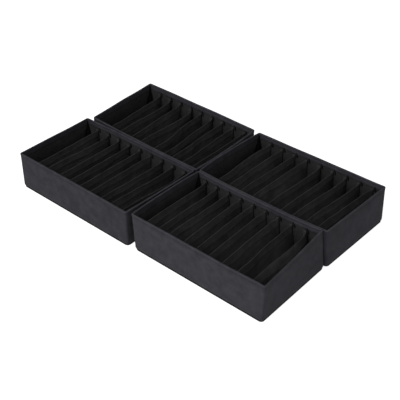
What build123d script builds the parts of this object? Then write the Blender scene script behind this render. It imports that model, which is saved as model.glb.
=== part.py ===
from build123d import *
import os

# A set of four fabric drawer organisers: low open boxes with slack cloth dividers, in two rows of two.
# Each box is a fabric sleeve over stiff wall boards, on a fabric-covered base board that hinges at
# its outer long edge. Millimetres: X runs along the long walls, Y away from the viewer, Z up.
# The origin is on the standing surface, under the middle of the set.

# Outside size of one box
BOX_LENGTH = 376.0
BOX_DEPTH = 232.5
BOX_HEIGHT = 100.0

# How the four boxes stand: the gaps between columns and rows, and how far each row and column has slid
COLUMN_GAP = 13.5
ROW_GAP = 5.1
ROW_SLIDE = 1.1
COLUMN_SLIDE = 1.85

# Wall layers, from the outside in, and the hem that the cover folds over the rim
COVER_FABRIC = 0.8
WALL_BOARD = 1.2
LINING_FABRIC = 0.8
HEM_DEPTH = 16.0
HEM_CORNER_RADIUS = 0.8

# Base panel: a board in a fabric envelope, a little smaller than the walls that stand over it
BASE_FABRIC = 0.8
BASE_BOARD = 2.4
BASE_INSET = 0.4
BASE_CORNER_RADIUS = 5.0
BASE_BOARD_PLAY = 0.3
SEAM_GAP = 0.3

# Dividers: doubled fabric between the long walls, sewn on by a turned tab at each end
DIVIDER_FABRIC = 1.2
DIVIDER_TAB = 9.0
DIVIDER_BELOW_HEM = 3.5
DIVIDER_SAG = 1.5
DIVIDER_BASE_GAP = 1.0
NARROW_CELL = 26.2
WIDE_CELL = 40.2

# How far each slack divider bows towards +X, halfway to the back wall and halfway to the front wall.
# A squarer bow stays full for longer and turns more quickly to the walls.
BOW_SQUARENESS = 8
BOW_SHARES = [0, 0.04, 0.12, 0.25, 0.5, 0.75, 0.88, 0.96, 1]
FRONT_LEFT_BOWS = [
    (-2.5, 0), (1.5, -2.5), (2.5, 3.5), (0.5, 2.5), (-2, -1.5), (-5.5, -3), (-1, -0.5), (-2, -6.5), (2, -4),
]
FRONT_RIGHT_BOWS = [
    (1, -1.5), (-1, -3.5), (-4.5, -9), (-6.5, -5.5), (-8, -7), (-9.5, -9), (-10.5, -11), (-7, -6), (3, -2.5),
]
BACK_LEFT_BOWS = [
    (2, 4.5), (5, 2.5), (-0.5, 5), (10, 1), (-1.5, 14), (3.5, 11.5), (-5, 1), (-6.5, -2), (-6, -7),
]
BACK_RIGHT_BOWS = [
    (-6, -0.5), (-5, -4), (-3.5, -5.5), (-7.5, -8.5), (2, -1), (0, -1.5), (-0.5, -6), (-2, -8.5), (-8.5, -14),
]

# Derived sizes: insets are measured inwards from the outer face of the walls
BOARD_INSET = COVER_FABRIC
LINING_INSET = BOARD_INSET + WALL_BOARD
WALL_THICKNESS = LINING_INSET + LINING_FABRIC
HEM_INSET = WALL_THICKNESS + COVER_FABRIC
CORNER_RADIUS = HEM_CORNER_RADIUS + HEM_INSET
BASE_THICKNESS = BASE_FABRIC + BASE_BOARD + BASE_FABRIC
WALL_BOTTOM = BASE_THICKNESS + SEAM_GAP
HEM_UNDERSIDE = BOX_HEIGHT - COVER_FABRIC
INNER_LENGTH = BOX_LENGTH - 2 * WALL_THICKNESS
INNER_DEPTH = BOX_DEPTH - 2 * WALL_THICKNESS
DIVIDER_BOTTOM = BASE_THICKNESS + DIVIDER_BASE_GAP
DIVIDER_TOP = BOX_HEIGHT - HEM_DEPTH - DIVIDER_BELOW_HEM


def rounded_block(inset, radius, bottom, top):
    """A block with rounded upright edges, set in by an even amount from the outside of the box."""
    outline = RectangleRounded(BOX_LENGTH - 2 * inset, BOX_DEPTH - 2 * inset, radius)
    return Pos(0, 0, bottom) * extrude(outline, amount=top - bottom)


def sleeve(outer_inset, inner_inset, bottom, top):
    """An even wall of fabric round the box, between two insets."""
    outside = rounded_block(outer_inset, CORNER_RADIUS - outer_inset, bottom, top)
    inside = rounded_block(inner_inset, CORNER_RADIUS - inner_inset, bottom, top)
    return outside - inside


def outer_cover():
    """The outer fabric, which folds over the rim and hangs down inside as a hem."""
    outside = sleeve(0, COVER_FABRIC, WALL_BOTTOM, BOX_HEIGHT)
    fold = sleeve(COVER_FABRIC, HEM_INSET, HEM_UNDERSIDE, BOX_HEIGHT)
    hem = sleeve(WALL_THICKNESS, HEM_INSET, BOX_HEIGHT - HEM_DEPTH, BOX_HEIGHT)
    return outside + fold + hem


def lining():
    """The inner fabric of the walls, caught under the hem."""
    return sleeve(LINING_INSET, WALL_THICKNESS, WALL_BOTTOM, HEM_UNDERSIDE)


def wall_board(length):
    """One stiff board along X, standing on the seam and reaching up into the fold of the hem."""
    height = HEM_UNDERSIDE - WALL_BOTTOM
    board = Box(length, WALL_BOARD, height, align=(Align.CENTER, Align.CENTER, Align.MIN))
    return Pos(0, 0, WALL_BOTTOM) * board


def long_boards():
    """The boards of the front and back walls, which stop short of the soft corners."""
    board = wall_board(BOX_LENGTH - 2 * CORNER_RADIUS)
    reach = BOX_DEPTH / 2 - BOARD_INSET - WALL_BOARD / 2
    return Part() + [Pos(0, side * reach, 0) * board for side in (-1, 1)]


def end_boards():
    """The boards of the two short walls, which stop short of the soft corners."""
    board = Rot(0, 0, 90) * wall_board(BOX_DEPTH - 2 * CORNER_RADIUS)
    reach = BOX_LENGTH / 2 - BOARD_INSET - WALL_BOARD / 2
    return Part() + [Pos(side * reach, 0, 0) * board for side in (-1, 1)]


def base_cover():
    """The base's fabric envelope: a shallow tray that wraps the board's edge, and a top sheet."""
    board_top = BASE_FABRIC + BASE_BOARD
    tray = rounded_block(BASE_INSET, BASE_CORNER_RADIUS, 0, board_top)
    pocket_radius = BASE_CORNER_RADIUS - BASE_FABRIC
    pocket = rounded_block(BASE_INSET + BASE_FABRIC, pocket_radius, BASE_FABRIC, board_top)
    sheet = rounded_block(BASE_INSET, BASE_CORNER_RADIUS, board_top, BASE_THICKNESS)
    return Compound([*(tray - pocket).solids(), *sheet.solids()])


def base_board():
    """The stiff board inside the base's envelope."""
    inset = BASE_INSET + BASE_FABRIC + BASE_BOARD_PLAY
    radius = BASE_CORNER_RADIUS - BASE_FABRIC - BASE_BOARD_PLAY
    return rounded_block(inset, radius, BASE_FABRIC, BASE_FABRIC + BASE_BOARD)


def bow(back_bow, front_bow, share):
    """How far a divider has moved to +X, at a share of the way from the back wall to the front wall."""
    ramp = min(max(2 * share - 0.5, 0), 1)
    blend = back_bow + (front_bow - back_bow) * ramp * ramp * (3 - 2 * ramp)
    return blend * (1 - abs(2 * share - 1) ** BOW_SQUARENESS)


def divider_outline(back_bow, front_bow):
    """Plan of one slack divider: a smooth curve between the walls, with a turned tab at each end."""
    half = INNER_DEPTH / 2
    curve = Spline([(bow(back_bow, front_bow, share), half - share * INNER_DEPTH) for share in BOW_SHARES])
    left = Pos(-DIVIDER_FABRIC / 2, 0) * curve
    right = Pos(DIVIDER_FABRIC / 2, 0) * curve
    ends = [Line(left @ end, right @ end) for end in (0, 1)]
    outline = make_face(left.edges() + right.edges() + ends)
    for side in (-1, 1):
        tab = Rectangle(DIVIDER_TAB, DIVIDER_FABRIC, align=(Align.MAX, Align.CENTER))
        outline += Pos(DIVIDER_FABRIC / 2, side * (half - DIVIDER_FABRIC / 2)) * tab
    return outline


def sag_cut():
    """The long shallow bite that a divider's top edge leaves as it sags between its tabs."""
    reach = INNER_DEPTH / 2 - DIVIDER_FABRIC
    dip = ThreePointArc((-reach, DIVIDER_TOP), (0, DIVIDER_TOP - DIVIDER_SAG), (reach, DIVIDER_TOP))
    bite = make_face([dip, Line(dip @ 1, dip @ 0)])
    return extrude(Plane.YZ * bite, amount=INNER_LENGTH, both=True)


def divider(back_bow, front_bow):
    """One slack cloth divider, hanging from its tabs just clear of the base."""
    outline = divider_outline(back_bow, front_bow)
    upright = extrude(Pos(0, 0, DIVIDER_BOTTOM) * outline, amount=DIVIDER_TOP - DIVIDER_BOTTOM)
    return upright - sag_cut()


def divider_places(count, narrow_end):
    """X of each divider, from the left: even cells between a wide end cell and a narrow one."""
    pitch = (INNER_LENGTH - NARROW_CELL - WIDE_CELL) / (count - 1)
    first = -INNER_LENGTH / 2 + (NARROW_CELL if narrow_end == "left" else WIDE_CELL)
    return [first + number * pitch for number in range(count)]


def organiser(bows, narrow_end):
    """Every piece of one box, by name, about the middle of its own footprint."""
    pieces = {
        "outer_cover": outer_cover(),
        "lining": lining(),
        "long_boards": long_boards(),
        "end_boards": end_boards(),
        "base_board": base_board(),
        "base_cover": base_cover(),
    }
    places = divider_places(len(bows), narrow_end)
    for number, (place, bow) in enumerate(zip(places, bows), start=1):
        pieces[f"divider_{number}"] = Pos(place, 0, 0) * divider(*bow)
    return pieces


def box_place(column, row):
    """The middle of a box: column -1 is left and 1 right, row -1 is front and 1 back."""
    across = column * (BOX_LENGTH + COLUMN_GAP) / 2 + row * ROW_SLIDE
    along = row * (BOX_DEPTH + ROW_GAP) / 2 + column * COLUMN_SLIDE
    return Pos(across, along, 0)


# Name, column, row, divider bows and the end with the narrow cell: one box stands turned half round
BOXES = [
    ("front_left", -1, -1, FRONT_LEFT_BOWS, "right"),
    ("front_right", 1, -1, FRONT_RIGHT_BOWS, "left"),
    ("back_left", -1, 1, BACK_LEFT_BOWS, "right"),
    ("back_right", 1, 1, BACK_RIGHT_BOWS, "right"),
]

os.makedirs("parts", exist_ok=True)
for name, column, row, bows, narrow_end in BOXES:
    for piece, shape in organiser(bows, narrow_end).items():
        export_step(box_place(column, row) * shape, f"parts/{name}_{piece}.step")
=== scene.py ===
import math
from types import SimpleNamespace

import bmesh
import bpy
from mathutils import Matrix, Vector, noise


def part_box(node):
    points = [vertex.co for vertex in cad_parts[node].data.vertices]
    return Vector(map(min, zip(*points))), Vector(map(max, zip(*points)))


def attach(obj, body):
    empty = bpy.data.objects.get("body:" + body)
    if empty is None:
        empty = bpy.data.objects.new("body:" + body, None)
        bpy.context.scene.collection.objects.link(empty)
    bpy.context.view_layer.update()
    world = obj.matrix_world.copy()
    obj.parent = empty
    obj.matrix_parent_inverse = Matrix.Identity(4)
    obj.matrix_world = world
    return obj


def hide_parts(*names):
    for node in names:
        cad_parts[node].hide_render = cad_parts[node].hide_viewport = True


# Four black fabric drawer organisers: soft open boxes with slack cloth dividers.
# Metres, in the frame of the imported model. Each box is shaped about its own middle and then set in place.

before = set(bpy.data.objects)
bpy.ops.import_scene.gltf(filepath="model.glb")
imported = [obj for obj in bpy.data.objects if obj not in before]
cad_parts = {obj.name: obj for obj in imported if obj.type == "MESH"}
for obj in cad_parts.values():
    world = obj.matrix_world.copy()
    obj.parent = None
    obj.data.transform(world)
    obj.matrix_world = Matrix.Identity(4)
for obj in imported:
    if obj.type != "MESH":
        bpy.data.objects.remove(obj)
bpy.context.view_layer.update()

# Real sizes are written in millimetres
MM = 0.001

# Camera, fitted to the corners of the four boxes in the photograph
CAMERA_AZIMUTH = math.radians(40.88)
CAMERA_ELEVATION = math.radians(36.40)
CAMERA_DISTANCE = 2053.9 * MM
CAMERA_TARGET = Vector((41.5, -38.4, 50.0)) * MM
FOCAL_LENGTH_IN_PIXELS = 850.8
IMAGE_WIDTH_IN_PIXELS = 400
SENSOR_WIDTH = 36.0

# Wall layers, from the outside in
COVER_CLOTH = 0.8 * MM
LINING_CLOTH = 0.8 * MM
WALL_BOARD = 1.2 * MM
WALL_THICKNESS = COVER_CLOTH + WALL_BOARD + LINING_CLOTH
HEM_INSET = WALL_THICKNESS + COVER_CLOTH
HEM_DEPTH = 16.0 * MM
RIM_FOLD_RADIUS = HEM_INSET / 2
CORNER_RADIUS = 4.4 * MM
CORNER_SEGMENTS = 8
BOARD_BELOW_RIM = 3.0 * MM
BOARD_FROM_CORNER = 8.0 * MM
BOARD_CUTS = 24
CLOTH_STEP = 4.0 * MM
FINE_STEP = 0.9 * MM
FOLD_STEPS = 8

# Seams standing in the lining's corners, whose near-black cloth is painted shade for the corners
SEAM_ON_END_WALL = 19.0 * MM
SEAM_ON_LONG_WALL = 12.0 * MM
SEAM_RIDGE = 7.0 * MM
SEAM_OFF_WALL = 0.6 * MM
SEAM_UNDER_HEM = 9.0 * MM
SEAM_TAPER = 0.8
SEAM_TAPER_START = 0.4
SEAM_STEPS_ACROSS = 12
SEAM_STEPS_UP = 18
SEAM_CLOTH = 0.4 * MM

# Base panel
BASE_CORNER_RADIUS = 9.0 * MM
BASE_EDGE_ROLL = 1.7 * MM
BASE_EDGE_SEGMENTS = 4

# Dividers: one cloth folded double, with its fold on top and a turned tab at each end
DIVIDER_CLOTH = 0.5 * MM
DIVIDER_HALF_THICKNESS = 0.65 * MM
DIVIDER_FOLD_RADIUS = 0.8 * MM
DIVIDER_PUFF_HEIGHT = 5.0 * MM
DIVIDER_HEM_DEPTH = 15.5 * MM
DIVIDER_HEM_RIDGE = 1.0 * MM
DIVIDER_HEM_WIDTH = 2.2 * MM
DIVIDER_HEM_DRIFT = 4.0 * MM
DIVIDER_HEM_DRIFT_LENGTH = 70.0 * MM
DIVIDER_TAB = 9.0 * MM
TAB_TURN_RADIUS = 2.5 * MM
DIVIDER_FULL_FROM = 14.4 * MM
TAB_OFF_WALL = 0.8 * MM
DIVIDER_BELOW_RIM = 21.0 * MM
NARROW_CELL = 26.2 * MM
WIDE_CELL = 40.2 * MM

# Bows: a squarer one stays full for longer and turns more quickly to its ends. A divider's two bows are
# given at these shares of the way from the back wall to the front wall.
TOP_EDGE_SQUARENESS = 12
SOFT_SQUARENESS = 3
BACK_BOW_AT = 0.25
FRONT_BOW_AT = 0.75

# The dividers' slack: how deep each kind of fold is, how many there are along a divider and down it, and
# how far its cloth has moved sideways at the base
SOFT_FOLD = 4.0 * MM
SOFT_FOLDS_ALONG = 3.2
SOFT_FOLDS_DOWN = 1.2
SMALL_FOLD = 2.5 * MM
SMALL_FOLDS_ALONG = 8.0
SMALL_FOLDS_DOWN = 2.4
FOLD_FADE_UPWARDS = 0.6
CREASE_DEPTH = 2.0 * MM
CREASE_LEVELS = (0.45, 0.63)
CREASE_WIDTH = 0.05
CREASE_DRIFT = 0.12
CREASE_DRIFTS_ALONG = 2.2
CREASE_FADES_ALONG = 3.0
SLANT_AT_BASE = 6.0 * MM
SLANTS_ALONG = 1.4
BILLOW_AT_BASE = 19.0 * MM
BILLOW_POWER = 2
SLUMP_AT_BASE = 32.0 * MM
SLUMP_POWER = 0.8

# How finely a divider's cloth is divided, along it and round its section
DIVIDER_LENGTH_STEPS = 84
DIVIDER_SECTION_STEPS = 72
SECTION_SHARE_OF_FOLD = 0.24
DIVIDER_NUDGE = 0.3 * MM

# Sewing, drawn about twice as wide as real thread so that it shows. How far up a tab's row starts, and how
# much shorter than its divider it is, are counted in stitches.
STITCH_LENGTH = 3.6 * MM
STITCH_PITCH = 4.2 * MM
STITCH_WIDTH = 1.4 * MM
STITCH_BELOW_RIM = 5.0 * MM
STITCH_SINK = 0.25 * MM
STITCH_FROM_RIM_CORNER = 2 * CORNER_RADIUS
STITCH_FROM_BASE_EDGE = 6.0 * MM
BASE_STITCH_SINK = STITCH_WIDTH / 3
TAB_ROW_START = 1.5
TAB_ROW_SHORTER_BY = 2
# A dark tack at the top of each divider's seam, whose colour is painted shade where the divider meets the
# wall
TACK_WIDTH = 8.0 * MM
TACK_HEIGHT = 14.0 * MM
TACK_THICKNESS = 4.0 * MM
TACK_TAPER = 0.25
TACK_ROUNDING = TACK_THICKNESS / 4
TACK_SEGMENTS = 2
TACK_FROM_DIVIDER = 3.5 * MM
TACK_RISE = 2.5 * MM

# Studio light and floor, in metres and watts. The floor glows more where it is seen than where it lights.
SKY_STRENGTH = 0.25
KEY_WATTS = 32
KEY_PLACE = (0.05, -2.2, 2.4)
KEY_SIZE = 1.6
FRONT_WATTS = 15
FRONT_PLACE = (0.05, -2.8, 0.35)
FRONT_SIZE = 1.0
FLOOR_HALF_SIZE = 12.0
FLOOR_BELOW_BASE = 0.3 * MM
FLOOR_SEEN = 0.84
FLOOR_LIGHT = 0.175

# How loosely the cover sits on its boards
RIM_WAVE = 1.1 * MM
RIM_WAVE_LENGTH = 80.0 * MM
WALL_BULGE = 1.6 * MM
BULGE_LENGTH = 95.0 * MM
BULGE_HEIGHT = 70.0 * MM
BULGE_EVERYWHERE = 0.4
WRINKLE_DEPTH = 1.0 * MM
WRINKLE_LENGTH = 90.0 * MM
WRINKLE_WIDTH = 17.0 * MM
WRINKLE_SLANT = math.radians(-38)
SLACK_FROM_BASE = 14.0 * MM
SLACK_FROM_STITCHES = 12.0 * MM
SLACK_FROM_CORNER = 24.0 * MM
HEM_PUCKER = 0.25 * MM
PUCKER_LENGTH = 9.0 * MM
HEM_ROLL = 0.5 * MM
HEM_ROLL_INSIDE = 1.1 * MM
HEM_PUFF = 1.8 * MM
HEM_FLARE = 0.3 * MM
HEM_FULL_FROM_END = 4 * CORNER_RADIUS
LOWER_EDGE_TURN = WALL_BOARD
LOWER_EDGE_HEIGHT = 4.0 * MM

# Painted light on the cover, as shares of its brightness: a painted highlight over the rim, and painted
# shade along its stitches. The highlight starts and is full at these numbers of fold radii below the rim.
RIM_LIGHT_AND_SEAM_SHADE = "rim_light_and_seam_shade"
RIM_PAINTED_HIGHLIGHT = 0.3
HIGHLIGHT_START = 1.5
HIGHLIGHT_FULL = 0.5
STITCHES_PAINTED_SHADE = 0.18

# Which part of the noise each wall, rim, divider and kind of fold shows, so that no two are alike
FRONT_PATTERN, BACK_PATTERN, LEFT_PATTERN, RIGHT_PATTERN = 1.3, 2.6, 3.9, 5.2
RIM_PATTERN = 0.5
DIVIDER_PATTERN_STEP = 3.7
SMALL_FOLD_PATTERN = 50
SLANT_PATTERN = 90
SLANT_ROW = 0.5
CREASE_FADE_PATTERN = 10

# The dark and the light tone of the covers: one box is a little darker than the rest, as painted shade
COVER_TONES = ("#36353A", "#47464C")
SHADED_COVER_TONES = ("#323136", "#434248")

# Each box as it stands in the photograph, in millimetres: the tones of its cover; the end with its narrow
# cell; how far each divider bows towards +X, at its back bow and its front bow; how far the dividers' top
# edges sag between their tabs; the numbers of the dividers that have slumped towards +X; how the soft rim
# has moved at its front-left, front-right, back-right and back-left corners; how far the middle of the
# front, right, back and left rims has moved outwards; how the walls' lower edge has moved at the same four
# corners; and the seed of its folds and wrinkles
BOXES = {
    "front_left": SimpleNamespace(
        cover_tones=SHADED_COVER_TONES,
        narrow_end="right",
        bows=[(-1, 0.5), (2.5, -2), (3.5, 4.5), (1, 3), (-1, 0), (-4.5, -2), (0, -1), (-1, -6), (1, -5)],
        sag=0,
        slumped=(),
        rim_moves=[(1.5, 0, 2), (-1.5, -1.5, 2), (3, 0, 0), (2, -2.5, 1)],
        rim_bows=(0, 2, 2.5, 0),
        foot_moves=[(0, 0), (-2, 0), (0, 0), (0, 0)],
        seed=11,
    ),
    "front_right": SimpleNamespace(
        cover_tones=COVER_TONES,
        narrow_end="left",
        bows=[
            (1, -1), (0, -2), (-4.5, -8.5), (-6.5, -5), (-8, -6.5), (-9, -8.5), (-10, -10), (-6, -5),
            (4, -2),
        ],
        sag=2.5,
        slumped=(9,),
        rim_moves=[(-2, 0, 2), (1.5, 1.5, 3), (-17, 5, 1), (-1.5, 2, 0)],
        rim_bows=(1, 1.5, -6, 3.5),
        foot_moves=[(4, 0), (0, 0), (-1.5, 0), (0, 0)],
        seed=23,
    ),
    "back_left": SimpleNamespace(
        cover_tones=COVER_TONES,
        narrow_end="right",
        bows=[(3.5, 6), (6, 3), (1.5, 6), (10.5, 2.5), (0, 15), (4, 12.5), (-4, 1), (-5.5, -1.5), (-6, -7)],
        sag=1,
        slumped=(),
        rim_moves=[(8, 6, 0), (1.5, -1.5, 0), (0, 1, 2), (-2, 4, 4)],
        rim_bows=(3.5, 3.5, 1.5, 0),
        foot_moves=[(0, 0), (0, 0), (0, 0), (0, 0)],
        seed=37,
    ),
    "back_right": SimpleNamespace(
        cover_tones=COVER_TONES,
        narrow_end="right",
        bows=[
            (-5, 0), (-4.5, -4), (-3, -5.5), (-7.5, -8.5), (2.5, -0.5), (0, -1.5), (-0.5, -6.5), (-2, -8.5),
            (-9, -14.5),
        ],
        sag=2,
        slumped=(),
        rim_moves=[(-4.5, -2, 0), (-9, 2, 0), (0.5, 1, 1), (0.5, -1, 0)],
        rim_bows=(5.5, 0, -0.5, 4.5),
        foot_moves=[(0, 0), (0.5, 0), (5, 0), (0, 0)],
        seed=53,
    ),
}


def add_camera():
    """The camera that took the photograph."""
    data = bpy.data.cameras.new("camera")
    data.sensor_width = SENSOR_WIDTH
    data.lens = SENSOR_WIDTH * FOCAL_LENGTH_IN_PIXELS / IMAGE_WIDTH_IN_PIXELS
    camera = bpy.data.objects.new("camera", data)
    bpy.context.scene.collection.objects.link(camera)
    level = math.cos(CAMERA_ELEVATION)
    backwards = Vector((
        math.sin(CAMERA_AZIMUTH) * level,
        -math.cos(CAMERA_AZIMUTH) * level,
        math.sin(CAMERA_ELEVATION),
    ))
    camera.location = CAMERA_TARGET + backwards * CAMERA_DISTANCE
    camera.rotation_euler = backwards.to_track_quat("Z", "Y").to_euler()
    bpy.context.scene.camera = camera


# Materials


def linear(hex_colour, alpha=1.0):
    """An sRGB hex colour as the linear values that shaders take."""
    channels = [int(hex_colour[start:start + 2], 16) / 255 for start in (1, 3, 5)]
    bright = [c / 12.92 if c <= 0.04045 else ((c + 0.055) / 1.055) ** 2.4 for c in channels]
    return (*bright, alpha)


def add_node(tree, kind, inputs=None, **settings):
    """Adds one node. Settings are its own properties; inputs are values or links, by socket."""
    added = tree.nodes.new(kind)
    for name, value in settings.items():
        setattr(added, name, value)
    for socket, value in (inputs or {}).items():
        if isinstance(value, bpy.types.NodeSocket):
            tree.links.new(value, added.inputs[socket])
        else:
            added.inputs[socket].default_value = value
    return added


def new_material(name):
    """A material with no nodes yet."""
    material = bpy.data.materials.new(name)
    material.use_nodes = True
    material.node_tree.nodes.clear()
    return material


# Sockets of the Mix node when it mixes colours
MIX_FACTOR, MIX_FIRST, MIX_SECOND, MIX_RESULT = 0, 6, 7, 2

# At a scale of 1, a diagonal wave turns by ten radians in each unit of X + Y + Z
WAVE_RADIANS = 10.0

# Sizes of the materials' patterns as they are drawn, and the height of their relief
BOND_SPACING = 2.2 * MM
FIBRE_SIZE = 1.6 * MM
CLOUD_SIZE = 26.0 * MM
CLOTH_RELIEF = 0.25 * MM
FLECK_SIZE = 3.0 * MM
BOARD_RELIEF = 0.2 * MM
THREAD_TWIST = 0.7 * MM

# Spunbond cloth: how much the fibres count beside the clouds in its tone, where that tone turns dark and
# light, how deep the bonds are beside the fibres, and how rough its smoothest and roughest patches are
FIBRES_IN_TONE = 0.35
DARK_TONE, LIGHT_TONE = 0.45, 0.92
BOND_DEPTH = 0.8
SMOOTHEST_CLOTH, ROUGHEST_CLOTH = 0.78, 0.92


def spunbond_cloth(name, dark, light, painted_light=False):
    """Black non-woven polypropylene: pressed fibres, bonded at a lattice of points. It gives the eye a matt,
    slightly mottled surface with a fine diamond emboss and a faint soft sheen. The real bonds are about 1 mm
    apart, and are drawn twice as coarse so that they show."""
    material = new_material(name)
    tree = material.node_tree
    place = add_node(tree, "ShaderNodeTexCoord").outputs["Object"]
    mirrored = add_node(tree, "ShaderNodeMapping", {"Vector": place, "Scale": (1, 1, -1)}).outputs["Vector"]
    bond_scale = 2 * math.pi / (WAVE_RADIANS * BOND_SPACING)
    rising, falling = [
        add_node(
            tree, "ShaderNodeTexWave", {"Vector": vector, "Scale": bond_scale},
            wave_type="BANDS", bands_direction="DIAGONAL",
        ).outputs["Fac"]
        for vector in (place, mirrored)
    ]
    bonds = add_node(tree, "ShaderNodeMath", {0: rising, 1: falling}, operation="MULTIPLY").outputs[0]
    fibres = add_node(
        tree, "ShaderNodeTexNoise",
        {"Vector": place, "Scale": 1 / FIBRE_SIZE, "Detail": 3.0, "Roughness": 0.65},
    ).outputs["Fac"]
    clouds = add_node(
        tree, "ShaderNodeTexNoise",
        {"Vector": place, "Scale": 1 / CLOUD_SIZE, "Detail": 4.0, "Roughness": 0.6},
    ).outputs["Fac"]
    tone = add_node(
        tree, "ShaderNodeMath", {0: fibres, 1: FIBRES_IN_TONE, 2: clouds}, operation="MULTIPLY_ADD"
    ).outputs[0]
    shade = add_node(
        tree, "ShaderNodeMapRange", {"Value": tone, "From Min": DARK_TONE, "From Max": LIGHT_TONE}
    ).outputs["Result"]
    colour = add_node(
        tree, "ShaderNodeMix", {MIX_FACTOR: shade, MIX_FIRST: linear(dark), MIX_SECOND: linear(light)},
        data_type="RGBA",
    ).outputs[MIX_RESULT]
    # The cover's painted highlight over the rim and painted shade along its stitches, read from a mesh
    # attribute
    if painted_light:
        rim_light_and_seam_shade = add_node(tree, "ShaderNodeAttribute", attribute_name=RIM_LIGHT_AND_SEAM_SHADE).outputs["Fac"]
        colour = add_node(
            tree, "ShaderNodeVectorMath", {0: colour, "Scale": rim_light_and_seam_shade}, operation="SCALE"
        ).outputs["Vector"]
    relief = add_node(
        tree, "ShaderNodeMath", {0: bonds, 1: -BOND_DEPTH, 2: fibres}, operation="MULTIPLY_ADD"
    ).outputs[0]
    bump = add_node(
        tree, "ShaderNodeBump", {"Height": relief, "Strength": 0.45, "Distance": CLOTH_RELIEF}
    ).outputs["Normal"]
    matt = add_node(
        tree, "ShaderNodeMapRange", {"Value": clouds, "To Min": SMOOTHEST_CLOTH, "To Max": ROUGHEST_CLOTH}
    ).outputs["Result"]
    shader = add_node(
        tree, "ShaderNodeBsdfPrincipled",
        {
            "Base Color": colour, "Roughness": matt, "Normal": bump,
            "IOR": 1.49, "Specular IOR Level": 0.06, "Sheen Weight": 0.02, "Sheen Roughness": 0.5,
        },
    )
    add_node(tree, "ShaderNodeOutputMaterial", {"Surface": shader.outputs["BSDF"]})
    return material


def grey_board():
    """Solid grey board, pressed from waste paper: dull, flecked and faintly layered."""
    material = new_material("pressed_grey_board")
    tree = material.node_tree
    place = add_node(tree, "ShaderNodeTexCoord").outputs["Object"]
    flecks = add_node(
        tree, "ShaderNodeTexNoise", {"Vector": place, "Scale": 1 / FLECK_SIZE, "Detail": 5.0}
    ).outputs["Fac"]
    colour = add_node(
        tree, "ShaderNodeMix",
        {MIX_FACTOR: flecks, MIX_FIRST: linear("#6E675C"), MIX_SECOND: linear("#8C8578")},
        data_type="RGBA",
    ).outputs[MIX_RESULT]
    bump = add_node(
        tree, "ShaderNodeBump", {"Height": flecks, "Strength": 0.3, "Distance": BOARD_RELIEF}
    ).outputs["Normal"]
    shader = add_node(
        tree, "ShaderNodeBsdfPrincipled", {"Base Color": colour, "Roughness": 0.9, "Normal": bump}
    )
    add_node(tree, "ShaderNodeOutputMaterial", {"Surface": shader.outputs["BSDF"]})
    return material


def polyester_thread():
    """Twisted black polyester thread: a little smoother than the cloth, with a fine slanting twist."""
    material = new_material("twisted_polyester_thread")
    tree = material.node_tree
    place = add_node(tree, "ShaderNodeTexCoord").outputs["Object"]
    twist = add_node(
        tree, "ShaderNodeTexWave", {"Vector": place, "Scale": 2 * math.pi / (WAVE_RADIANS * THREAD_TWIST)},
        wave_type="BANDS", bands_direction="DIAGONAL",
    ).outputs["Fac"]
    colour = add_node(
        tree, "ShaderNodeMix",
        {MIX_FACTOR: twist, MIX_FIRST: linear("#0C0C0E"), MIX_SECOND: linear("#18181A")},
        data_type="RGBA",
    ).outputs[MIX_RESULT]
    shader = add_node(
        tree, "ShaderNodeBsdfPrincipled",
        {"Base Color": colour, "Roughness": 0.6, "IOR": 1.57, "Specular IOR Level": 0.1},
    )
    add_node(tree, "ShaderNodeOutputMaterial", {"Surface": shader.outputs["BSDF"]})
    return material


def seen_rays(tree):
    """1 on rays that see, straight, by reflection or through glass, and 0 on rays that only light."""
    rays = add_node(tree, "ShaderNodeLightPath").outputs
    seen_or_reflected = add_node(
        tree, "ShaderNodeMath", {0: rays["Is Camera Ray"], 1: rays["Is Glossy Ray"]}, operation="ADD"
    ).outputs[0]
    return add_node(
        tree, "ShaderNodeMath", {0: seen_or_reflected, 1: rays["Is Transmission Ray"]},
        operation="ADD", use_clamp=True,
    ).outputs[0]


def studio_floor():
    """White seamless paper, lit from below: it is seen as plain white, and still takes a soft shadow."""
    material = new_material("white_paper_floor")
    tree = material.node_tree
    glow = add_node(
        tree, "ShaderNodeMapRange", {"Value": seen_rays(tree), "To Min": FLOOR_LIGHT, "To Max": FLOOR_SEEN}
    ).outputs["Result"]
    paper = add_node(tree, "ShaderNodeBsdfDiffuse", {"Color": linear("#EFEFEF")}).outputs["BSDF"]
    white = add_node(
        tree, "ShaderNodeEmission", {"Color": (1, 1, 1, 1), "Strength": glow}
    ).outputs["Emission"]
    mixed = add_node(tree, "ShaderNodeAddShader", {0: paper, 1: white}).outputs[0]
    add_node(tree, "ShaderNodeOutputMaterial", {"Surface": mixed})
    return material


# Shaping helpers: points are measured from the middle of their own box


def measure_box(name):
    """Where one box stands and how large it is, read from its CAD pieces."""
    low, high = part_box(f"{name}_outer_cover")
    base_low, base_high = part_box(f"{name}_base_cover")
    divider_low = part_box(f"{name}_divider_1")[0]
    middle = (low + high) / 2
    look = BOXES[name]
    return SimpleNamespace(
        name=name,
        body=f"{name}_box",
        flap=f"{name}_base_flap",
        middle=Vector((middle.x, middle.y, 0)),
        half_length=(high.x - low.x) / 2,
        half_depth=(high.y - low.y) / 2,
        wall_bottom=low.z,
        rim=high.z,
        base_half_length=(base_high.x - base_low.x) / 2,
        base_half_depth=(base_high.y - base_low.y) / 2,
        base_bottom=base_low.z,
        base_top=base_high.z,
        divider_bottom=divider_low.z,
        divider_sag=look.sag * MM,
        divider_top=high.z - DIVIDER_BELOW_RIM + look.sag * MM,
        narrow_end=look.narrow_end,
        bows=[(back * MM, front * MM) for back, front in look.bows],
        slumped=look.slumped,
        rim_moves=[Vector(move) * MM for move in look.rim_moves],
        rim_bows=[bow * MM for bow in look.rim_bows],
        foot_moves=[Vector((*move, 0)) * MM for move in look.foot_moves],
        seed=look.seed,
    )


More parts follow.
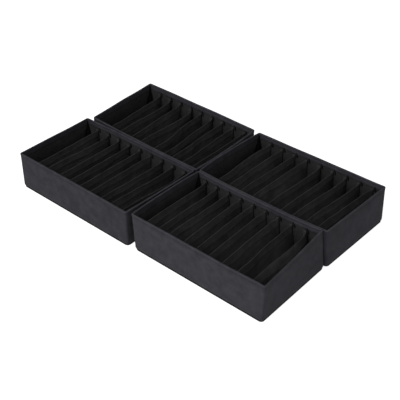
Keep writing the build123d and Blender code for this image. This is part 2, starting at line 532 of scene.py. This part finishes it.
def clamp(value, low, high):
    """The value, kept between two limits."""
    return max(low, min(high, value))


def smooth_step(value, start, end):
    """0 before start, 1 after end, and a soft ramp between them."""
    share = clamp((value - start) / (end - start), 0, 1)
    return share * share * (3 - 2 * share)


def nearest_core(box, point):
    """The nearest point of the box's plan without its rounded corners."""
    reach_x = box.half_length - CORNER_RADIUS
    reach_y = box.half_depth - CORNER_RADIUS
    return Vector((clamp(point.x, -reach_x, reach_x), clamp(point.y, -reach_y, reach_y), point.z))


def outward(box, point):
    """The level direction straight out of the box's wall."""
    return (point - nearest_core(box, point)).normalized()


def fullness(share, squareness=SOFT_SQUARENESS):
    """How much of a bow a rim or a divider has: none at its ends and most of it over most of its length."""
    return 1 - abs(2 * share - 1) ** squareness


def between_corners(moves, along, back):
    """A blend of four corner moves: front-left, front-right, back-right and back-left."""
    front_left, front_right, back_right, back_left = moves
    return front_left.lerp(front_right, along).lerp(back_left.lerp(back_right, along), back)


def lean(box, point):
    """Moves a point with the soft walls: as the rim has moved at the top, and as the foot has below."""
    along = clamp((point.x / box.half_length + 1) / 2, 0, 1)
    back = clamp((point.y / box.half_depth + 1) / 2, 0, 1)
    front_bow, right_bow, back_bow, left_bow = box.rim_bows
    bow_x = (right_bow * along - left_bow * (1 - along)) * fullness(back)
    bow_y = (back_bow * back - front_bow * (1 - back)) * fullness(along)
    rim_move = between_corners(box.rim_moves, along, back) + Vector((bow_x, bow_y, 0))
    foot_move = between_corners(box.foot_moves, along, back)
    rise = max(0, (point.z - box.wall_bottom) / (box.rim - box.wall_bottom))
    return point + foot_move.lerp(rim_move, rise)


def wrinkles(box, along, height, side):
    """Slanting streaks from -1 to 1, longer than they are wide."""
    run = along * math.cos(WRINKLE_SLANT) + height * math.sin(WRINKLE_SLANT)
    across = height * math.cos(WRINKLE_SLANT) - along * math.sin(WRINKLE_SLANT)
    return noise.noise(Vector((run / WRINKLE_LENGTH, across / WRINKLE_WIDTH, box.seed + side)))


def cover_relief(box, point):
    """How far the slack cover stands off its board: most in mid-wall, none at seams and corners."""
    if box.half_depth - abs(point.y) < box.half_length - abs(point.x):
        along, from_corner = point.x, box.half_length - abs(point.x)
        side = FRONT_PATTERN if point.y < 0 else BACK_PATTERN
    else:
        along, from_corner = point.y, box.half_depth - abs(point.y)
        side = LEFT_PATTERN if point.x < 0 else RIGHT_PATTERN
    stitch_height = box.rim - STITCH_BELOW_RIM
    free = (
        smooth_step(point.z, box.wall_bottom, box.wall_bottom + SLACK_FROM_BASE)
        * (1 - smooth_step(point.z, stitch_height - SLACK_FROM_STITCHES, stitch_height))
        * smooth_step(from_corner, 0, SLACK_FROM_CORNER)
    )
    broad = noise.noise(Vector((along / BULGE_LENGTH, point.z / BULGE_HEIGHT, box.seed + side)))
    bulge = WALL_BULGE * (BULGE_EVERYWHERE + (1 - BULGE_EVERYWHERE) * broad)
    puckers = noise.noise(Vector((along / PUCKER_LENGTH, 0, box.seed - side)))
    loose = bulge + WRINKLE_DEPTH * wrinkles(box, along, point.z, side)
    return max(0, free * loose) + (HEM_ROLL + HEM_PUCKER * puckers) * hem_roll(box, point)


def hem_roll(box, point):
    """The soft roll of the folded hem: none at its stitches, and all of it halfway up to the rim."""
    share = clamp((point.z - box.rim + STITCH_BELOW_RIM) / STITCH_BELOW_RIM, 0, 1)
    return math.sin(math.pi * share)


def hem_puff(box, point):
    """How the hem stands off below its stitches, inside the walls: most of it halfway down to its edge."""
    share = clamp((box.rim - STITCH_BELOW_RIM - point.z) / (HEM_DEPTH - STITCH_BELOW_RIM), 0, 1)
    return math.sin(math.pi * share)


def hem_flare(box, point):
    """How far the doubled cloth of the rim stands out from the wall below it."""
    return HEM_FLARE * smooth_step(point.z, box.rim - HEM_DEPTH, box.rim - STITCH_BELOW_RIM)


def along_long_wall(box, point):
    """1 on the long walls, and 0 at the corners and on the end walls, where the hem lies flat."""
    return smooth_step(box.half_length - abs(point.x), CORNER_RADIUS, HEM_FULL_FROM_END)


def rim_wave(box, point):
    """The rim's slight rise and fall, which only the top of the wall follows."""
    wave = noise.noise(
        Vector((point.x / RIM_WAVE_LENGTH, point.y / RIM_WAVE_LENGTH, box.seed + RIM_PATTERN))
    )
    return Vector((0, 0, RIM_WAVE * wave * smooth_step(point.z, box.rim / 2, box.rim)))


def set_in_place(box, mesh):
    """Moves a shaped mesh to where its box stands."""
    bmesh.ops.translate(mesh, vec=box.middle, verts=mesh.verts)


def add_piece(mesh, name, body, material, nodes=()):
    """Makes a finished mesh an object of the scene that rides on a body and stands for CAD nodes."""
    data = bpy.data.meshes.new(name)
    mesh.to_mesh(data)
    mesh.free()
    data.shade_smooth()
    data.materials.append(material)
    piece = bpy.data.objects.new(name, data)
    bpy.context.scene.collection.objects.link(piece)
    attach(piece, body)
    if nodes:
        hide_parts(*nodes)
    return piece


def thicken(piece, thickness, even=True):
    """Gives a sheet its thickness, inwards from its modelled face. Sharp folds can't keep it even."""
    solidify = piece.modifiers.new("cloth thickness", "SOLIDIFY")
    solidify.thickness = thickness
    solidify.offset = -1
    solidify.use_even_offset = even


def rounded_sheet(half_length, half_depth, radius, height):
    """A mesh of one level face with rounded corners."""
    mesh = bmesh.new()
    bmesh.ops.create_grid(mesh, x_segments=1, y_segments=1, size=1)
    bmesh.ops.scale(mesh, vec=(half_length, half_depth, 1), verts=mesh.verts)
    bmesh.ops.translate(mesh, vec=(0, 0, height), verts=mesh.verts)
    bmesh.ops.bevel(
        mesh, geom=mesh.verts[:], offset=radius, segments=CORNER_SEGMENTS, profile=0.5,
        affect="VERTICES", material=-1,
    )
    return mesh


# Fabric sleeve: outer cover, lining and boards


def rounded_loop(half_length, half_depth, radius, height):
    """A mesh of one rounded rectangle of edges, divided finely enough for cloth."""
    mesh = rounded_sheet(half_length, half_depth, radius, height)
    bmesh.ops.delete(mesh, geom=mesh.faces[:], context="FACES_ONLY")
    for edge in mesh.edges[:]:
        cuts = round(edge.calc_length() / CLOTH_STEP) - 1
        if cuts > 0:
            bmesh.ops.subdivide_edges(mesh, edges=[edge], cuts=cuts)
    return mesh


def pull_over(box, mesh, profile):
    """Extrudes the mesh's loop of edges through a profile of insets and heights, as cloth over a frame."""
    edges = mesh.edges[:]
    for (inset, height), (next_inset, next_height) in zip(profile, profile[1:]):
        pulled = bmesh.ops.extrude_edge_only(mesh, edges=edges)["geom"]
        verts = [item for item in pulled if isinstance(item, bmesh.types.BMVert)]
        fresh = set(verts)
        edges = [
            item for item in pulled
            if isinstance(item, bmesh.types.BMEdge) and all(vert in fresh for vert in item.verts)
        ]
        for vert in verts:
            vert.co -= outward(box, vert.co) * (next_inset - inset)
            vert.co.z += next_height - height


def even_heights(bottom, top, step=CLOTH_STEP):
    """Heights about one step apart."""
    count = max(1, round((top - bottom) / step))
    return [bottom + (top - bottom) * number / count for number in range(count + 1)]


def cover_painted_light(box, point, outside):
    """How bright the cover's cloth is drawn: a painted highlight over the rim, and painted shade along the
    stitches on its outside.
    """
    stitch_height = box.rim - STITCH_BELOW_RIM
    highlight_start = box.rim - HIGHLIGHT_START * RIM_FOLD_RADIUS
    highlight_full = box.rim - HIGHLIGHT_FULL * RIM_FOLD_RADIUS
    highlighted = smooth_step(point.z, highlight_start, highlight_full)
    stitch_shade = smooth_step(point.z, box.rim - HEM_DEPTH, stitch_height)
    stitch_shade *= 1 - smooth_step(point.z, stitch_height, box.rim - RIM_FOLD_RADIUS)
    return 1 + RIM_PAINTED_HIGHLIGHT * highlighted - STITCHES_PAINTED_SHADE * stitch_shade * outside


def outer_cover(box, cloth):
    """The outer cloth: up the wall, over the rim in a soft fold, and down inside as a hem."""
    fold = RIM_FOLD_RADIUS
    turns = [math.pi * step / FOLD_STEPS for step in range(1, FOLD_STEPS)]
    seam = box.wall_bottom + LOWER_EDGE_HEIGHT
    hem_start = box.rim - HEM_DEPTH
    heights = even_heights(box.wall_bottom, seam, FINE_STEP)
    heights += even_heights(seam, hem_start)[1:]
    hem_heights = even_heights(hem_start, box.rim - fold, FINE_STEP)
    profile = [(0, height) for height in heights + hem_heights[1:]]
    profile += [(fold - fold * math.cos(t), box.rim - fold + fold * math.sin(t)) for t in turns]
    profile += [(HEM_INSET, height) for height in reversed(hem_heights)]
    mesh = rounded_loop(box.half_length, box.half_depth, CORNER_RADIUS, box.wall_bottom)
    pull_over(box, mesh, profile)
    bmesh.ops.recalc_face_normals(mesh, faces=mesh.faces)
    # Painted highlight over the rim and painted shade along the hem's stitches, kept on the mesh for the
    # cloth
    rim_light_and_seam_shade = mesh.verts.layers.float.new(RIM_LIGHT_AND_SEAM_SHADE)
    for vert in mesh.verts:
        from_core = (vert.co - nearest_core(box, vert.co)).length
        outside = smooth_step(from_core, CORNER_RADIUS - fold, CORNER_RADIUS)
        vert[rim_light_and_seam_shade] = cover_painted_light(box, vert.co, outside)
        turn = LOWER_EDGE_TURN * (1 - smooth_step(vert.co.z, box.wall_bottom, seam))
        inside_stand = HEM_ROLL_INSIDE * hem_roll(box, vert.co) + HEM_PUFF * hem_puff(box, vert.co)
        inside_stand *= along_long_wall(box, vert.co)
        outside_stand = cover_relief(box, vert.co) + hem_flare(box, vert.co) - turn
        push = outward(box, vert.co) * (outside_stand * outside - inside_stand * (1 - outside))
        vert.co = lean(box, vert.co + push + rim_wave(box, vert.co))
    set_in_place(box, mesh)
    piece = add_piece(
        mesh, f"{box.name}.outer_cover", box.body, cloth, [f"{box.name}_outer_cover"]
    )
    thicken(piece, COVER_CLOTH)


def lining(box, cloth):
    """The inner cloth of the walls, from the base up into the hem."""
    outer_inset = COVER_CLOTH + WALL_BOARD
    top = box.rim - BOARD_BELOW_RIM
    half_length = box.half_length - outer_inset
    half_depth = box.half_depth - outer_inset
    mesh = rounded_loop(half_length, half_depth, CORNER_RADIUS - outer_inset, box.wall_bottom)
    pull_over(box, mesh, [(outer_inset, height) for height in even_heights(box.wall_bottom, top)])
    bmesh.ops.recalc_face_normals(mesh, faces=mesh.faces)
    for vert in mesh.verts:
        vert.co = lean(box, vert.co + rim_wave(box, vert.co))
    set_in_place(box, mesh)
    piece = add_piece(mesh, f"{box.name}.lining", box.body, cloth, [f"{box.name}_lining"])
    thicken(piece, LINING_CLOTH)


def corner_section(box, side_x, side_y, spread, share):
    """The plan of one corner seam: from the end wall to the seam's loose edge and on to the long wall."""
    along_end = Vector((0, -side_y, 0))
    along_long = Vector((-side_x, 0, 0))
    reach_x = box.half_length - WALL_THICKNESS - SEAM_OFF_WALL
    reach_y = box.half_depth - WALL_THICKNESS - SEAM_OFF_WALL
    corner = Vector((side_x * reach_x, side_y * reach_y, 0))
    loose_edge = corner + (along_end + along_long) * SEAM_RIDGE * spread
    on_wall = corner + (
        along_end * SEAM_ON_END_WALL if share < 0.5 else along_long * SEAM_ON_LONG_WALL
    ) * spread
    run = abs(2 * share - 1)
    return loose_edge.lerp(corner, run).lerp(corner.lerp(on_wall, run), run)


def corner_seams(box, painted_corner_shade):
    """The seam of the lining in each inner corner, which stands out more towards the base. Its near-black
    cloth is painted shade for the corner.
    """
    mesh = bmesh.new()
    bottom = box.base_top + SEAM_OFF_WALL
    top = box.rim - HEM_DEPTH + SEAM_UNDER_HEM
    for side_x in (-1, 1):
        for side_y in (-1, 1):
            made = bmesh.ops.create_grid(
                mesh, x_segments=SEAM_STEPS_ACROSS, y_segments=SEAM_STEPS_UP, size=1
            )
            for vert in made["verts"]:
                share, rise = (vert.co.x + 1) / 2, (vert.co.y + 1) / 2
                height = bottom + (top - bottom) * rise
                spread = 1 - SEAM_TAPER * smooth_step(rise, SEAM_TAPER_START, 1)
                section = corner_section(box, side_x, side_y, spread, share)
                vert.co = lean(box, section + Vector((0, 0, height)))
    bmesh.ops.recalc_face_normals(mesh, faces=mesh.faces)
    set_in_place(box, mesh)
    area = sum(face.calc_area() for face in mesh.faces)
    piece = add_piece(mesh, f"{box.name}.corner_seams", box.body, painted_corner_shade)
    thicken(piece, SEAM_CLOTH, even=False)


def wall_boards(box, board, kind, half_board, middles):
    """Two stiff boards between the cover and the lining, which start above the turned lower edge."""
    mesh = bmesh.new()
    bottom = box.wall_bottom + LOWER_EDGE_HEIGHT
    height = box.rim - BOARD_BELOW_RIM - bottom
    for middle in middles:
        size = Matrix.Diagonal((2 * half_board.x, 2 * half_board.y, height, 1))
        place = Matrix.Translation((middle.x, middle.y, bottom + height / 2))
        bmesh.ops.create_cube(mesh, size=1, matrix=place @ size)
    long_edges = [edge for edge in mesh.edges if edge.calc_length() > 2 * WALL_BOARD]
    bmesh.ops.subdivide_edges(mesh, edges=long_edges, cuts=BOARD_CUTS, use_grid_fill=True)
    for vert in mesh.verts:
        vert.co = lean(box, vert.co)
    set_in_place(box, mesh)
    piece = add_piece(
        mesh, f"{box.name}.{kind}", box.body, board, [f"{box.name}_{kind}"]
    )
    piece.data.shade_flat()


def boards(box, board):
    """The boards of the long walls and of the end walls, which stop short of the soft corners."""
    inset = COVER_CLOTH + WALL_BOARD / 2
    reach_y = box.half_depth - inset
    reach_x = box.half_length - inset
    long_half = Vector((box.half_length - BOARD_FROM_CORNER, WALL_BOARD / 2))
    end_half = Vector((WALL_BOARD / 2, box.half_depth - BOARD_FROM_CORNER))
    wall_boards(box, board, "long_boards", long_half, [Vector((0, -reach_y)), Vector((0, reach_y))])
    wall_boards(box, board, "end_boards", end_half, [Vector((-reach_x, 0)), Vector((reach_x, 0))])


# Base panel


def base_panel(box, cloth):
    """The base board in its fabric envelope: a thin slab with soft rolled edges, under the walls' feet."""
    thickness = box.base_top - box.base_bottom
    mesh = rounded_sheet(box.base_half_length, box.base_half_depth, BASE_CORNER_RADIUS, box.base_bottom)
    raised = bmesh.ops.extrude_face_region(mesh, geom=mesh.faces[:])["geom"]
    upper = [item for item in raised if isinstance(item, bmesh.types.BMVert)]
    bmesh.ops.translate(mesh, vec=(0, 0, thickness), verts=upper)
    bmesh.ops.recalc_face_normals(mesh, faces=mesh.faces)
    rolled = [edge for edge in mesh.edges if abs(edge.verts[0].co.z - edge.verts[1].co.z) < thickness / 2]
    bmesh.ops.bevel(
        mesh, geom=rolled, offset=BASE_EDGE_ROLL, segments=BASE_EDGE_SEGMENTS, profile=0.5,
        affect="EDGES", material=-1,
    )
    for vert in mesh.verts:
        vert.co = lean(box, vert.co)
    set_in_place(box, mesh)
    add_piece(
        mesh, f"{box.name}.base_panel", box.flap, cloth,
        [f"{box.name}_base_cover", f"{box.name}_base_board"],
    )


# Dividers


def divider_places(box):
    """X of each divider, from the left: even cells between a wide end cell and a narrow one."""
    inner_length = 2 * (box.half_length - WALL_THICKNESS)
    pitch = (inner_length - NARROW_CELL - WIDE_CELL) / (len(box.bows) - 1)
    first = -inner_length / 2 + (NARROW_CELL if box.narrow_end == "left" else WIDE_CELL)
    return [first + number * pitch for number in range(len(box.bows))]


def divider_span(box):
    """From tab to tab, between the linings."""
    return 2 * (box.half_depth - WALL_THICKNESS - TAB_OFF_WALL)


def divider_length(box):
    """The cloth's length: two tabs, two turned corners and the run between them."""
    straight_tab = DIVIDER_TAB - TAB_TURN_RADIUS
    turn = TAB_TURN_RADIUS * math.pi / 2
    return 2 * (straight_tab + turn) + divider_span(box) - 2 * TAB_TURN_RADIUS


def tab_and_run(box, distance):
    """The plan of a straight divider: how far to +X and from the back wall, at a distance along it."""
    from_front = distance > divider_length(box) / 2
    if from_front:
        distance = divider_length(box) - distance
    straight_tab = DIVIDER_TAB - TAB_TURN_RADIUS
    turn = (distance - straight_tab) / TAB_TURN_RADIUS
    if turn < 0:
        across, depth = distance - DIVIDER_TAB, 0
    elif turn < math.pi / 2:
        across, depth = TAB_TURN_RADIUS * (math.sin(turn) - 1), TAB_TURN_RADIUS * (1 - math.cos(turn))
    else:
        across, depth = 0, TAB_TURN_RADIUS * (1 + turn - math.pi / 2)
    return across, divider_span(box) - depth if from_front else depth


def bow(bows, share):
    """How far a divider's top edge has moved: its back bow runs softly into its front bow."""
    back_bow, front_bow = bows
    blend = back_bow + (front_bow - back_bow) * smooth_step(share, BACK_BOW_AT, FRONT_BOW_AT)
    return blend * fullness(share, TOP_EDGE_SQUARENESS)


def creases(share, height_share, phase):
    """Lengthwise creases, which wander up and down and fade in and out along the divider."""
    total = 0
    for order, level in enumerate(CREASE_LEVELS):
        drift = CREASE_DRIFT * noise.noise(Vector((share * CREASE_DRIFTS_ALONG, order, phase)))
        fade = Vector((share * CREASE_FADES_ALONG, order + CREASE_FADE_PATTERN, phase))
        total += noise.noise(fade) * math.exp(-((height_share - level - drift) / CREASE_WIDTH) ** 2)
    return CREASE_DEPTH * total


def divider_middle(box, number, place, distance, height_share):
    """A point midway between the two layers of a divider."""
    across, depth = tab_and_run(box, distance)
    share = depth / divider_span(box)
    free = 4 * share * (1 - share)
    phase = box.seed + DIVIDER_PATTERN_STEP * number
    soft_fold = SOFT_FOLD * noise.noise(
        Vector((share * SOFT_FOLDS_ALONG, height_share * SOFT_FOLDS_DOWN, phase))
    )
    small_fold = SMALL_FOLD * noise.noise(
        Vector((share * SMALL_FOLDS_ALONG, height_share * SMALL_FOLDS_DOWN, phase + SMALL_FOLD_PATTERN))
    )
    slant = SLANT_AT_BASE * noise.noise(
        Vector((share * SLANTS_ALONG, SLANT_ROW, phase + SLANT_PATTERN))
    ) * (1 - height_share)
    folds = (soft_fold + small_fold) * (1 - FOLD_FADE_UPWARDS * height_share)
    folds += creases(share, height_share, phase)
    if number + 1 in box.slumped:
        billow = SLUMP_AT_BASE * (1 - height_share) ** SLUMP_POWER
    else:
        billow = BILLOW_AT_BASE * (1 - height_share) ** BILLOW_POWER
    billow *= fullness(share)
    top_move = bow(box.bows[number], share)
    swing = max(0, top_move) + min(0, top_move) * height_share
    slack = swing + billow + free * (folds + slant)
    top = box.divider_top - box.divider_sag * fullness(share, TOP_EDGE_SQUARENESS)
    back = box.half_depth - WALL_THICKNESS - TAB_OFF_WALL
    return Vector((
        place + across + slack,
        back - depth,
        box.divider_bottom + (top - box.divider_bottom) * height_share,
    ))


def divider(box, number, place, cloth):
    """One cloth folded double: up one side, over the fold and down the other, between two turned tabs."""
    mesh = bmesh.new()
    bmesh.ops.create_grid(
        mesh, x_segments=DIVIDER_LENGTH_STEPS, y_segments=DIVIDER_SECTION_STEPS, size=1
    )
    length = divider_length(box)
    for vert in mesh.verts:
        distance = (vert.co.x + 1) / 2 * length
        section = vert.co.y
        height_share = clamp((1 - abs(section)) / (1 - SECTION_SHARE_OF_FOLD), 0, 1)
        from_end = min(distance, length - distance)
        on_run = smooth_step(from_end, DIVIDER_TAB, DIVIDER_FULL_FROM)
        middle = divider_middle(box, number, place, distance, height_share)
        before = divider_middle(box, number, place, max(0, distance - DIVIDER_NUDGE), height_share)
        after = divider_middle(box, number, place, min(length, distance + DIVIDER_NUDGE), height_share)
        sideways = (after - before).cross(Vector((0, 0, 1))).normalized()
        top = divider_middle(box, number, place, distance, 1).z
        fold = DIVIDER_HALF_THICKNESS + (DIVIDER_FOLD_RADIUS - DIVIDER_HALF_THICKNESS) * on_run
        near_top = smooth_step(middle.z, top - DIVIDER_PUFF_HEIGHT, top)
        wander = DIVIDER_HEM_DRIFT * noise.noise(
            Vector((distance / DIVIDER_HEM_DRIFT_LENGTH, number, box.seed))
        )
        from_hem = (top - middle.z - DIVIDER_HEM_DEPTH - wander) / DIVIDER_HEM_WIDTH
        ridge = DIVIDER_HEM_RIDGE * math.exp(-from_hem * from_hem) * on_run
        half = DIVIDER_HALF_THICKNESS + (fold - DIVIDER_HALF_THICKNESS) * near_top + ridge
        turn = clamp((section + SECTION_SHARE_OF_FOLD) / (2 * SECTION_SHARE_OF_FOLD), 0, 1) * math.pi
        point = middle + sideways * half * math.cos(turn) + Vector((0, 0, fold * math.sin(turn) - fold))
        vert.co = lean(box, point)
    set_in_place(box, mesh)
    piece = add_piece(
        mesh, f"{box.name}.divider_{number + 1}", box.body, cloth,
        [f"{box.name}_divider_{number + 1}"],
    )
    thicken(piece, DIVIDER_CLOTH)


# Sewing


def add_stitch(mesh, middle, along, out):
    """One short stitch, sunk to about half its thickness in the cloth."""
    up = out.cross(along)
    turn = Matrix((along, up, out)).transposed().to_4x4()
    size = Matrix.Diagonal((STITCH_LENGTH / 2, STITCH_WIDTH / 2, STITCH_WIDTH / 2, 1))
    place = Matrix.Translation(middle) @ turn @ size
    bmesh.ops.create_icosphere(mesh, subdivisions=1, radius=1, matrix=place)


def stitches_round(half_length, half_depth, from_corner):
    """The place, the run and the outward side of each stitch, in rows along a rectangle's four sides."""
    for along_x in (True, False):
        reach = (half_length if along_x else half_depth) - from_corner
        count = int(2 * reach / STITCH_PITCH)
        for side in (-1, 1):
            for number in range(count):
                step = (number - (count - 1) / 2) * STITCH_PITCH
                if along_x:
                    yield Vector((step, side * half_depth, 0)), Vector((1, 0, 0)), Vector((0, side, 0))
                else:
                    yield Vector((side * half_length, step, 0)), Vector((0, 1, 0)), Vector((side, 0, 0))


def hem_thread(box, thread):
    """The row of stitches that holds the hem, on the outside and the inside of the walls."""
    mesh = bmesh.new()
    height = Vector((0, 0, box.rim - STITCH_BELOW_RIM))
    for half_length, half_depth, facing in (
        (box.half_length, box.half_depth, 1),
        (box.half_length - HEM_INSET, box.half_depth - HEM_INSET, -1),
    ):
        for spot, along, out in stitches_round(half_length, half_depth, STITCH_FROM_RIM_CORNER):
            point = spot + height
            stand = cover_relief(box, point) + hem_flare(box, point) if facing > 0 else 0
            push = out * facing * (stand - STITCH_SINK)
            add_stitch(mesh, lean(box, point + push + rim_wave(box, point)), along, out * facing)
    set_in_place(box, mesh)
    add_piece(mesh, f"{box.name}.hem_thread", box.body, thread)


def divider_thread(box, thread):
    """The upright rows of stitches that hold each divider's tabs to the lining."""
    mesh = bmesh.new()
    inside = box.half_depth - WALL_THICKNESS - TAB_OFF_WALL - DIVIDER_HALF_THICKNESS
    count = int((box.divider_top - box.divider_bottom) / STITCH_PITCH) - TAB_ROW_SHORTER_BY
    for place in divider_places(box):
        for side in (-1, 1):
            for number in range(count):
                height = box.divider_bottom + (number + TAB_ROW_START) * STITCH_PITCH
                sewn = place - (DIVIDER_TAB + TAB_TURN_RADIUS) / 2
                point = lean(box, Vector((sewn, side * inside, height)))
                add_stitch(mesh, point, Vector((0, 0, 1)), Vector((0, -side, 0)))
    set_in_place(box, mesh)
    add_piece(mesh, f"{box.name}.divider_thread", box.body, thread)


def shade_tacks(box, cloth):
    """A dark tack-shaped wedge at the top of each divider's seams, which narrows upwards on the wall. Its
    dark cloth is painted shade where the divider's end meets the wall.
    """
    mesh = bmesh.new()
    inside = box.half_depth - WALL_THICKNESS - TACK_THICKNESS / 2
    for place in divider_places(box):
        for side in (-1, 1):
            middle = Vector((place + TACK_FROM_DIVIDER, side * inside, box.divider_top + TACK_RISE))
            size = Matrix.Diagonal((TACK_WIDTH, TACK_THICKNESS, TACK_HEIGHT, 1))
            made = bmesh.ops.create_cube(mesh, size=1, matrix=Matrix.Translation(middle) @ size)["verts"]
            for vert in made:
                if vert.co.z > middle.z:
                    vert.co.x = middle.x + (vert.co.x - middle.x) * TACK_TAPER
    for vert in mesh.verts:
        vert.co = lean(box, vert.co)
    bmesh.ops.bevel(
        mesh, geom=mesh.edges[:], offset=TACK_ROUNDING, segments=TACK_SEGMENTS, profile=0.5,
        affect="EDGES", material=-1,
    )
    set_in_place(box, mesh)
    add_piece(mesh, f"{box.name}.bar_tacks", box.body, cloth)


def base_thread(box, thread):
    """The row of stitches round the underside of the base's envelope."""
    mesh = bmesh.new()
    half_length = box.base_half_length - STITCH_FROM_BASE_EDGE
    half_depth = box.base_half_depth - STITCH_FROM_BASE_EDGE
    down = Vector((0, 0, -1))
    height = Vector((0, 0, box.base_bottom + BASE_STITCH_SINK))
    for spot, along, _ in stitches_round(half_length, half_depth, BASE_CORNER_RADIUS):
        add_stitch(mesh, lean(box, spot + height), along, down)
    set_in_place(box, mesh)
    add_piece(mesh, f"{box.name}.base_thread", box.flap, thread)


# Studio


def add_floor():
    """The plain floor of the studio, which is not part of the object."""
    mesh = bmesh.new()
    bmesh.ops.create_grid(mesh, x_segments=1, y_segments=1, size=FLOOR_HALF_SIZE)
    bmesh.ops.translate(mesh, vec=(0, 0, -FLOOR_BELOW_BASE), verts=mesh.verts)
    data = bpy.data.meshes.new("floor")
    mesh.to_mesh(data)
    mesh.free()
    data.materials.append(studio_floor())
    floor = bpy.data.objects.new("floor", data)
    bpy.context.scene.collection.objects.link(floor)


def add_softbox(name, place, size, watts):
    """A square soft light, aimed at the middle of the set."""
    data = bpy.data.lights.new(name, "AREA")
    data.size = size
    data.energy = watts
    lamp = bpy.data.objects.new(name, data)
    lamp.location = place
    lamp.rotation_euler = Vector(place).to_track_quat("Z", "Y").to_euler()
    bpy.context.scene.collection.objects.link(lamp)


def add_sky(strength):
    """Even light from all round, which the camera and reflections see as plain white."""
    world = bpy.data.worlds.new("studio")
    bpy.context.scene.world = world
    world.use_nodes = True
    tree = world.node_tree
    tree.nodes.clear()
    level = add_node(
        tree, "ShaderNodeMapRange", {"Value": seen_rays(tree), "To Min": strength, "To Max": 1.0}
    ).outputs["Result"]
    light = add_node(tree, "ShaderNodeBackground", {"Color": (1, 1, 1, 1), "Strength": level}).outputs[0]
    add_node(tree, "ShaderNodeOutputWorld", {"Surface": light})


add_camera()
bpy.context.scene.view_settings.view_transform = "Standard"

# The second cover cloth is a darker copy of the first: painted shade on the front-left box
cover_cloths = {
    tones: spunbond_cloth(f"black_spunbond_cover_{number}", *tones, painted_light=True)
    for number, tones in enumerate((COVER_TONES, SHADED_COVER_TONES), start=1)
}
# The lining's cloth is drawn darker than the cover's, as painted shade inside the walls
shaded_lining_cloth = spunbond_cloth("black_spunbond_lining", "#303030", "#3F3F40")
# Near-black cloth of the corner seams: painted shade in the lining's corners
painted_corner_shade_cloth = spunbond_cloth("black_spunbond_binding", "#080808", "#121212")
# Dark cloth of the tacks: painted shade where each divider's end meets the wall
tack_shade_cloth = spunbond_cloth("painted_shade_tack", "#161616", "#222222")
divider_cloth = spunbond_cloth("black_spunbond_divider", "#3B3B3B", "#4F4F4F")
# The base's cloth is drawn darker than the cover's, so that its edge shows as a dark line along the foot of
# the walls
base_cloth = spunbond_cloth("black_spunbond_base", "#1A1A1C", "#28282A")
board = grey_board()
thread = polyester_thread()

for box_name in BOXES:
    organiser = measure_box(box_name)
    outer_cover(organiser, cover_cloths[BOXES[box_name].cover_tones])
    lining(organiser, shaded_lining_cloth)
    corner_seams(organiser, painted_corner_shade_cloth)
    boards(organiser, board)
    base_panel(organiser, base_cloth)
    for number, place in enumerate(divider_places(organiser)):
        divider(organiser, number, place, divider_cloth)
    hem_thread(organiser, thread)
    divider_thread(organiser, thread)
    shade_tacks(organiser, tack_shade_cloth)
    base_thread(organiser, thread)

add_floor()
add_sky(SKY_STRENGTH)
add_softbox("key_softbox", KEY_PLACE, KEY_SIZE, KEY_WATTS)
add_softbox("front_softbox", FRONT_PLACE, FRONT_SIZE, FRONT_WATTS)
